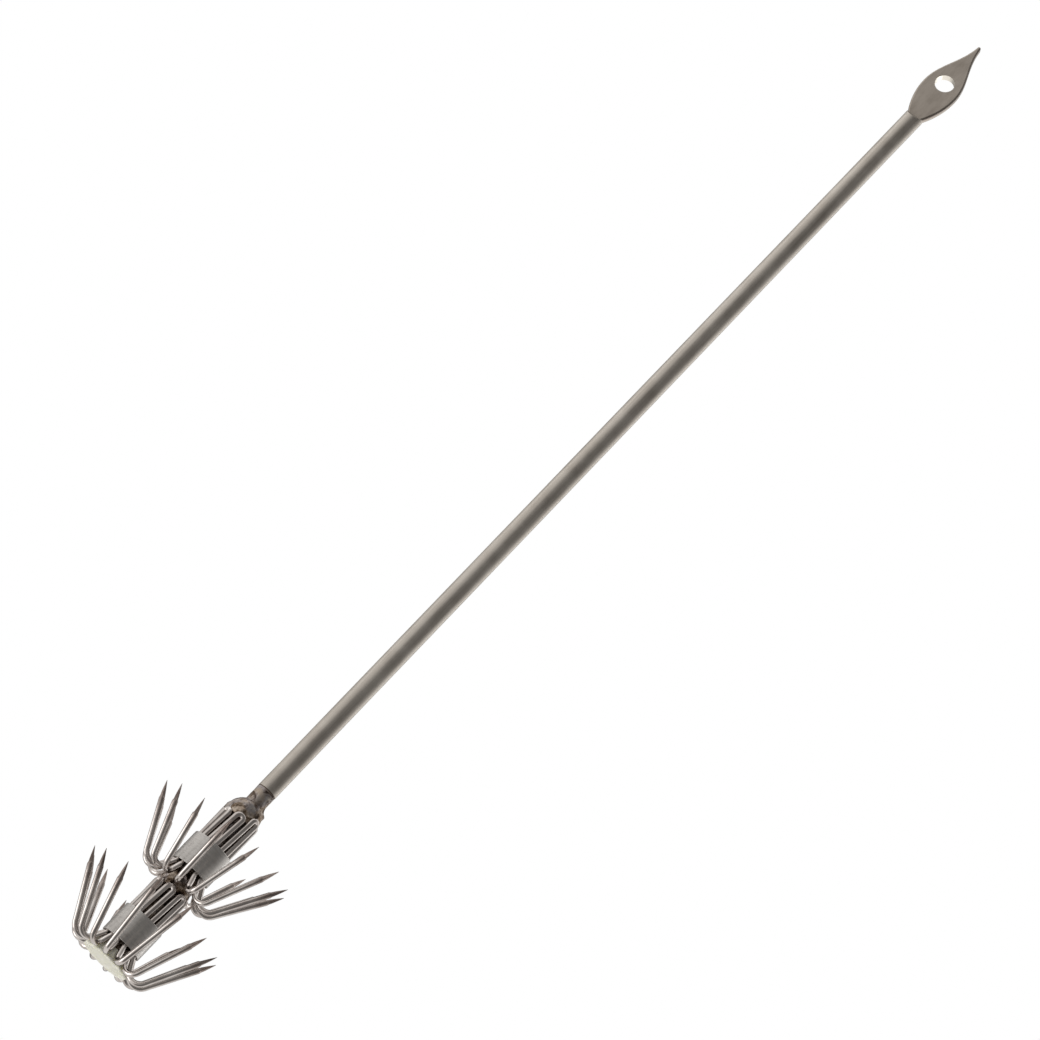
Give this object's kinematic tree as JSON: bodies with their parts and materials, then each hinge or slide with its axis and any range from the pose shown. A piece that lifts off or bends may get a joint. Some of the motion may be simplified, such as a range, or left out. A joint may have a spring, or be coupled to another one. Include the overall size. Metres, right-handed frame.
{
  "type": "squid jig",
  "caption": "Bait-spike squid jig: tube shank with a flat spear blade and line eye above two crowns of upturned barbless points and a resin end cap.",
  "frame": {"origin": "centre of the line eye, midway through the spear blade", "axes": "+Z along the shank towards the spear's tip, up when the jig hangs from its line; +Y along the line eye, square to the blade's flat faces; +X across the blade"},
  "size_m": [0.0297, 0.0297, 0.2405],
  "materials": {
    "blade_steel": "flat rolled stainless steel, satin",
    "shank_steel": "drawn stainless tube, satin",
    "rod_steel": "stainless rod, heat tinted by brazing",
    "hook_wire": "polished stainless wire with ground points",
    "band_steel": "smooth satin stainless band",
    "sleeve_steel": "dark, oxidised and stained with flux",
    "solder": "brazing metal, mottled brown, straw and blue heat tint",
    "resin": "milky pale green luminous resin"
  },
  "bodies": {
    "root": {"core_rod": "rod_steel", "end_cap": "resin", "lower_band": "band_steel", "lower_double_hook_1": "hook_wire", "lower_double_hook_2": "hook_wire", "lower_double_hook_3": "hook_wire", "lower_double_hook_4": "hook_wire", "lower_double_hook_5": "hook_wire", "lower_double_hook_6": "hook_wire", "lower_double_hook_7": "hook_wire", "lower_sleeve": "sleeve_steel", "middle_solder": "solder", "shank_tube": "shank_steel", "spear_blade": "blade_steel", "spear_solder": "solder", "top_solder": "solder", "upper_band": "band_steel", "upper_double_hook_1": "hook_wire", "upper_double_hook_2": "hook_wire", "upper_double_hook_3": "hook_wire", "upper_double_hook_4": "hook_wire", "upper_double_hook_5": "hook_wire", "upper_double_hook_6": "hook_wire", "upper_double_hook_7": "hook_wire", "upper_sleeve": "sleeve_steel"}
  },
  "joints": []
}
